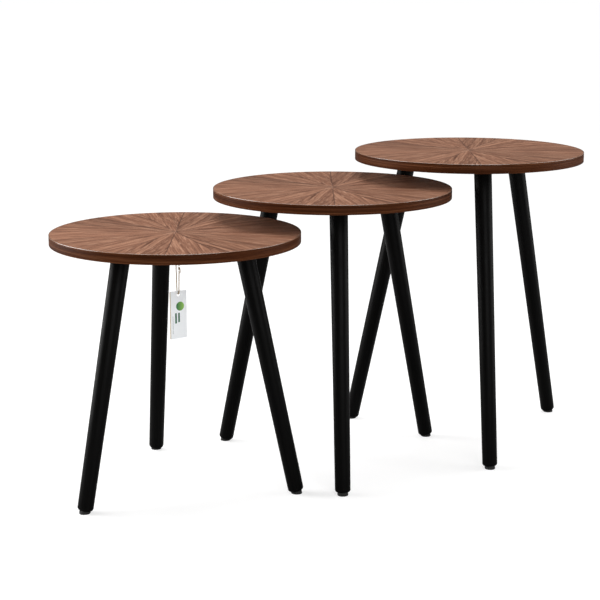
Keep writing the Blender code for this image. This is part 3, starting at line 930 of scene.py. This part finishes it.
def make_tag_cord(material):
    place = tag_frame()
    route = [place @ (Vector((0.0, y, z)) / 1000) for y, z in TWINE_ROUTE]
    twine = laid_twine("tag_twine_loop", route, TWINE_CREST)
    shade(twine, 60)
    finish_piece(twine, "swing_tag", material, "tag_twine", "tag_twine")

    front = -place.to_3x3().col[1]
    turns, tail = knot_routes(route[0], route[-1], front)
    knot = laid_twine("tag_knot_turns", turns, KNOT_STRAND_CREST)
    loose_end = laid_twine("tag_knot_tail", tail, KNOT_TAIL_CREST)
    choose(knot)
    loose_end.select_set(True)
    bpy.ops.object.join()
    shade(knot, 60)
    finish_piece(knot, "swing_tag", material, "tag_twine", "tag_knot")


# Tag card and staple


def make_card(material):
    middle_z = CARD_HOLE_Z + CARD_HOLE_INSET - CARD_HEIGHT / 2
    deselect_all()
    bpy.ops.mesh.primitive_cube_add(size=1.0, scale=(CARD_WIDTH, CARD_THICKNESS, CARD_HEIGHT))
    card = named("tag_card_sheet")
    start_edit(card)
    select_edges(card, lambda a, b: abs(a.y - b.y) > CARD_THICKNESS / 2)
    bpy.ops.mesh.bevel(offset=CARD_CORNER_RADIUS, segments=6, affect="EDGES")
    deselect_all()
    punch = add_cylinder(
        "card_punch", CARD_HOLE_RADIUS, -PUNCH_REACH, PUNCH_REACH, CARD_HOLE_SIDES
    )
    hole_place = Matrix.Translation((0.0, 0.0, CARD_HOLE_Z - middle_z))
    punch.data.transform(hole_place @ Matrix.Rotation(math.pi / 2, 4, "X"))
    apply_modifier(card, "BOOLEAN", object=punch, operation="DIFFERENCE", solver="EXACT")
    remove(punch)
    ease_edges(card, CARD_EASE, 1)
    keep_place(card)
    card.data.transform(tag_frame() @ Matrix.Translation((0.0, 0.0, middle_z)))
    shade(card, 30)
    finish_piece(card, "swing_tag", material, "tag_card", "tag_card")


def make_staple(material):
    half = STAPLE_SPAN / 2
    top = STAPLE_DROP + STAPLE_LEG_DEPTH
    deselect_all()
    bpy.ops.curve.primitive_bezier_curve_add()
    wire = bpy.context.object
    wire.name = "tag_staple_wire"
    spline = wire.data.splines[0]
    corner = STAPLE_CORNER_RADIUS
    bends = [
        (-half, top), (-half, corner), (-half + corner, 0.0),
        (half - corner, 0.0), (half, corner), (half, top),
    ]
    towards = [(0, -1), (0, -1), (1, 0), (1, 0), (0, 1), (0, 1)]
    spline.bezier_points.add(len(bends) - 2)
    for point, (x, z), (ahead_x, ahead_z) in zip(spline.bezier_points, bends, towards):
        point.co = (x, 0.0, z)
        reach = Vector((ahead_x, 0.0, ahead_z)) * corner * ROUND_HANDLE
        point.handle_left_type = point.handle_right_type = "FREE"
        point.handle_left = point.co - reach
        point.handle_right = point.co + reach
    wire.data.dimensions = "3D"
    wire.data.bevel_depth = STAPLE_WIRE_RADIUS
    wire.data.bevel_resolution = 3
    wire.data.use_fill_caps = True
    choose(wire)
    bpy.ops.object.convert(target="MESH")
    wire.data.transform(wire.matrix_basis)
    wire.matrix_basis = Matrix.Identity(4)
    wire.data.transform(tag_frame())
    shade(wire, 40)
    finish_piece(wire, "small_table", material, "zinc_steel", "tag_staple")


# Boards


def make_face(table, material):
    """A disc cut into leaves. The leaf attribute holds along, across and the leaf's number."""
    centre = board_centre(table)
    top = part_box(f"{table}_face_veneer")[1].z
    radius = BOARD_RADIUS - BAND_THICKNESS - VENEER_GAP / 2
    name = f"{table}_sunburst_face"
    face = add_cylinder(name, radius, top - VENEER_THICKNESS, top, RIM_SIDES, centre.xy)
    start_edit(face)
    for i in range(LEAF_COUNT // 2):
        angle = FIRST_SEAM + LEAF_ANGLE * i
        bpy.ops.mesh.select_all(action="SELECT")
        bpy.ops.mesh.bisect(plane_co=centre, plane_no=(-math.sin(angle), math.cos(angle), 0.0))
    deselect_all()
    leaf = face.data.attributes.new("leaf", "FLOAT_VECTOR", "CORNER")
    for polygon in face.data.polygons:
        away = polygon.center - centre
        turn = math.atan2(away.y, away.x) - FIRST_SEAM
        number = math.floor((turn / LEAF_ANGLE) % LEAF_COUNT)
        middle = FIRST_SEAM + (number + 0.5) * LEAF_ANGLE
        for corner in polygon.loop_indices:
            spot = face.data.vertices[face.data.loops[corner].vertex_index].co - centre
            along = spot.x * math.cos(middle) + spot.y * math.sin(middle)
            across = spot.y * math.cos(middle) - spot.x * math.sin(middle)
            leaf.data[corner].vector = (along, across, number)
    shade(face, 30)
    finish_piece(face, f"{table}_table", material, "walnut_face", f"{table}_face_veneer")


def make_band(table, material):
    """A ring with bevelled outer corners. The arris attribute is one on the upper bevel."""
    centre = board_centre(table)
    low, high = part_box(f"{table}_edge_band")
    band = add_cylinder(f"{table}_rim_band", BOARD_RADIUS, low.z, high.z, RIM_SIDES, centre.xy)
    start_edit(band)
    select_faces(band, lambda face: abs(face.normal.z) > 0.9)
    bpy.ops.mesh.delete(type="FACE")
    deselect_all()
    apply_modifier(band, "SOLIDIFY", thickness=BAND_THICKNESS, offset=-1.0, use_even_offset=True)
    start_edit(band)
    outer = BOARD_RADIUS - BAND_THICKNESS / 2

    def on_outer_corner(a, b):
        nearest = min((a - centre).xy.length, (b - centre).xy.length)
        return abs(a.z - b.z) < 1e-6 and nearest > outer

    select_edges(band, on_outer_corner)
    bpy.ops.mesh.bevel(offset=BAND_ARRIS, segments=3, affect="EDGES")
    deselect_all()
    arris = band.data.attributes.new("arris", "FLOAT", "FACE")
    for polygon, value in zip(band.data.polygons, arris.data):
        value.value = 1.0 if 0.2 < polygon.normal.z < 0.98 else 0.0
    shade(band, 40)
    finish_piece(band, f"{table}_table", material, "walnut_edge", f"{table}_edge_band")


# Legs and what is on them


def cut_bore(obj, z, from_radius, to_radius, depth):
    """Sinks a blind bore in the middle of the flat end at height z."""
    select_faces(obj, lambda face: abs(face.center.z - z) < 1e-5 and abs(face.normal.z) > 0.99)
    bpy.ops.mesh.inset(thickness=from_radius - to_radius)
    bpy.ops.mesh.extrude_region_move(TRANSFORM_OT_translate={"value": (0.0, 0.0, depth)})


def copy_to_legs(pattern, table, label, material, slot, node_label=None):
    """Puts one copy on each of the table's legs, in place of that leg's CAD node if it has one."""
    for number, yaw in zip(LEG_NUMBERS, leg_yaws(table)):
        copy = placed_copy(pattern, f"{table}_{label}_{number}", leg_frame(table, yaw))
        nodes = [f"{table}_{node_label}_{number}"] if node_label else []
        finish_piece(copy, f"{table}_table", material, slot, *nodes)
    remove(pattern)


def make_legs(table, material):
    """Turned tapered legs, eased at both ends, with a bore for the bolt and one for the nail."""
    end = floor_on_leg(table) + PAD_HEIGHT
    top = -LEG_TOP_DROP
    deselect_all()
    bpy.ops.mesh.primitive_cone_add(
        vertices=LEG_SIDES, radius1=LEG_FOOT_RADIUS, radius2=LEG_TOP_RADIUS, depth=top - end,
        location=(0.0, 0.0, (top + end) / 2),
    )
    leg = named("leg_pattern")
    start_edit(leg)
    select_edges(leg, lambda a, b: max(a.z, b.z) < end + 1e-5)
    bpy.ops.mesh.bevel(
        offset=LEG_FOOT_EASE, segments=5, profile=LEG_FOOT_PROFILE, affect="EDGES"
    )
    select_edges(leg, lambda a, b: min(a.z, b.z) > top - 1e-5)
    bpy.ops.mesh.bevel(offset=LEG_TOP_EASE, segments=3, affect="EDGES")
    cut_bore(leg, top, LEG_TOP_RADIUS - LEG_TOP_EASE, BOLT_HOLE_RADIUS, -BOLT_HOLE_DEPTH)
    nail_room = NAIL_HEAD_LIFT + NAIL_LENGTH + 2 * NAIL_RADIUS - PAD_HEIGHT
    cut_bore(leg, end, LEG_FOOT_RADIUS - LEG_FOOT_EASE, NAIL_HOLE_RADIUS, nail_room)
    deselect_all()
    keep_place(leg, (2, 0, 1))
    shade(leg, 40)
    copy_to_legs(leg, table, "turned_leg", material, "leg_black", "leg")


def make_pads(table, material):
    """Pads square to the leg above and cut level with the floor below."""
    floor = floor_on_leg(table)
    top = floor + PAD_HEIGHT - PAD_GAP
    pad = add_cylinder("pad_pattern", PAD_RADIUS, floor - 2 * PAD_HEIGHT, top, PAD_SIDES)
    level = Matrix.Rotation(LEG_SPLAY, 4, "Y") @ Vector((0.0, 0.0, 1.0))
    start_edit(pad)
    bpy.ops.mesh.select_all(action="SELECT")
    bpy.ops.mesh.bisect(
        plane_co=(0.0, 0.0, floor), plane_no=level, use_fill=True, clear_inner=True, clear_outer=False
    )
    select_faces(pad, lambda face: face.normal.dot(level) < -0.99)
    bpy.ops.mesh.inset(thickness=PAD_RADIUS - PAD_RECESS_RADIUS)
    bpy.ops.mesh.extrude_region_move(TRANSFORM_OT_translate={"value": level * PAD_RECESS_HEIGHT})
    deselect_all()
    ease_edges(pad, PAD_EASE, 3, 50)
    shade(pad, 40)
    copy_to_legs(pad, table, "rubber_pad", material, "foot_rubber", "foot_pad")


def make_nails(table, material):
    """The nails that hold the pads, from their heads up into the legs."""
    head = floor_on_leg(table) + NAIL_HEAD_LIFT
    nail = add_cylinder("nail_pattern", NAIL_HEAD_RADIUS, head, head + NAIL_HEAD_HEIGHT, NAIL_SIDES)
    start_edit(nail)
    select_faces(nail, lambda face: face.normal.z > 0.9)
    bpy.ops.mesh.inset(thickness=NAIL_HEAD_RADIUS - NAIL_RADIUS)
    shank = NAIL_LENGTH - NAIL_HEAD_HEIGHT
    bpy.ops.mesh.extrude_region_move(TRANSFORM_OT_translate={"value": (0.0, 0.0, shank)})
    bpy.ops.transform.resize(value=(NAIL_POINT_SCALE, NAIL_POINT_SCALE, 1.0))
    deselect_all()
    ease_edges(nail, NAIL_EASE, 2, 50)
    shade(nail, 40)
    copy_to_legs(nail, table, "pad_nail", material, "zinc_steel")


def make_plates(table, material):
    """The pressed plates, with their loose triangles merged and their edges eased."""
    for number in LEG_NUMBERS:
        node = f"{table}_leg_plate_{number}"
        name = f"{table}_pressed_plate_{number}"
        plate = placed_copy(frame["nodes"][node], name, Matrix.Identity(4))
        plate.parent = None
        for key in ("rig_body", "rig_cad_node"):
            del plate[key]
        start_edit(plate)
        bpy.ops.mesh.select_all(action="SELECT")
        bpy.ops.mesh.remove_doubles(threshold=PLATE_MERGE_DISTANCE)
        bpy.ops.mesh.dissolve_limited(angle_limit=math.radians(1))
        deselect_all()
        ease_edges(plate, PLATE_EASE, 2, 50)
        shade(plate, 35)
        finish_piece(plate, f"{table}_table", material, "plate_steel", node)


def make_screws(table, material):
    """Pan-head wood screws with a cross slot, four to a plate."""
    under_head = -2 * PLATE_GAP - PLATE_STEEL
    crown = under_head - SCREW_HEAD_HEIGHT
    screw = add_cylinder("screw_pattern", SCREW_HEAD_RADIUS, crown, under_head, SCREW_SIDES)
    start_edit(screw)
    select_edges(screw, lambda a, b: max(a.z, b.z) < crown + 1e-6)
    bpy.ops.mesh.bevel(
        offset=SCREW_HEAD_HEIGHT * SCREW_HEAD_ROUNDING, segments=5, affect="EDGES"
    )
    select_faces(screw, lambda face: face.normal.z > 0.9)
    bpy.ops.mesh.inset(thickness=SCREW_HEAD_RADIUS - SCREW_RADIUS)
    shank = SCREW_DEPTH - under_head
    for share in (SCREW_STRAIGHT_SHARE, SCREW_POINT_SHARE):
        step = (0.0, 0.0, shank * share)
        bpy.ops.mesh.extrude_region_move(TRANSFORM_OT_translate={"value": step})
    bpy.ops.transform.resize(value=(SCREW_POINT_SCALE, SCREW_POINT_SCALE, 1.0))
    deselect_all()
    for size in ((SCREW_SLOT_LENGTH, SCREW_SLOT_WIDTH), (SCREW_SLOT_WIDTH, SCREW_SLOT_LENGTH)):
        bpy.ops.mesh.primitive_cube_add(
            size=1.0, scale=(*size, SCREW_HEAD_HEIGHT), location=(0.0, 0.0, crown)
        )
        slot = named("screw_slot")
        apply_modifier(screw, "BOOLEAN", object=slot, operation="DIFFERENCE", solver="EXACT")
        remove(slot)
    shade(screw, 35)
    half = PLATE_SCREW_PITCH / 2
    number = 0
    for yaw in leg_yaws(table):
        for x, y in ((half, half), (-half, half), (-half, -half), (half, -half)):
            number += 1
            turn = Matrix.Rotation(number * SCREW_TURN, 4, "Z")
            place = upright_frame(table, yaw) @ Matrix.Translation((x, y, 0.0)) @ turn
            copy = placed_copy(screw, f"{table}_plate_screw_{number}", place)
            finish_piece(copy, f"{table}_table", material, "zinc_steel")
    remove(screw)


def dress_cad_nodes(table, finishes):
    """The pieces whose plain shape is right keep it and get their finish."""
    kept = {"board_core": "board_core", "backing_sheet": "backing_sheet"}
    kept.update({f"hanger_bolt_{number}": "zinc_steel" for number in LEG_NUMBERS})
    for part, finish in kept.items():
        node = frame["nodes"][f"{table}_{part}"]
        node.data.materials.clear()
        node.data.materials.append(finishes[finish])


def main():
    make_camera()
    finishes = {
        "walnut_face": walnut_face_material(),
        "walnut_edge": walnut_edge_material(),
        "backing_sheet": backing_material(),
        "board_core": board_core_material(),
        "leg_black": leg_material(),
        "plate_steel": powder_coat_material(),
        "zinc_steel": zinc_material(),
        "foot_rubber": rubber_material(),
        "tag_twine": twine_material(),
        "tag_card": card_material(),
    }
    make_card(finishes["tag_card"])
    make_tag_cord(finishes["tag_twine"])
    make_staple(finishes["zinc_steel"])
    for table in TABLES:
        make_face(table, finishes["walnut_face"])
        make_band(table, finishes["walnut_edge"])
        make_legs(table, finishes["leg_black"])
        make_pads(table, finishes["foot_rubber"])
        make_nails(table, finishes["zinc_steel"])
        make_plates(table, finishes["plate_steel"])
        make_screws(table, finishes["zinc_steel"])
        dress_cad_nodes(table, finishes)
    make_floor()
    make_lights()
    make_background()


main()
deselect_all()
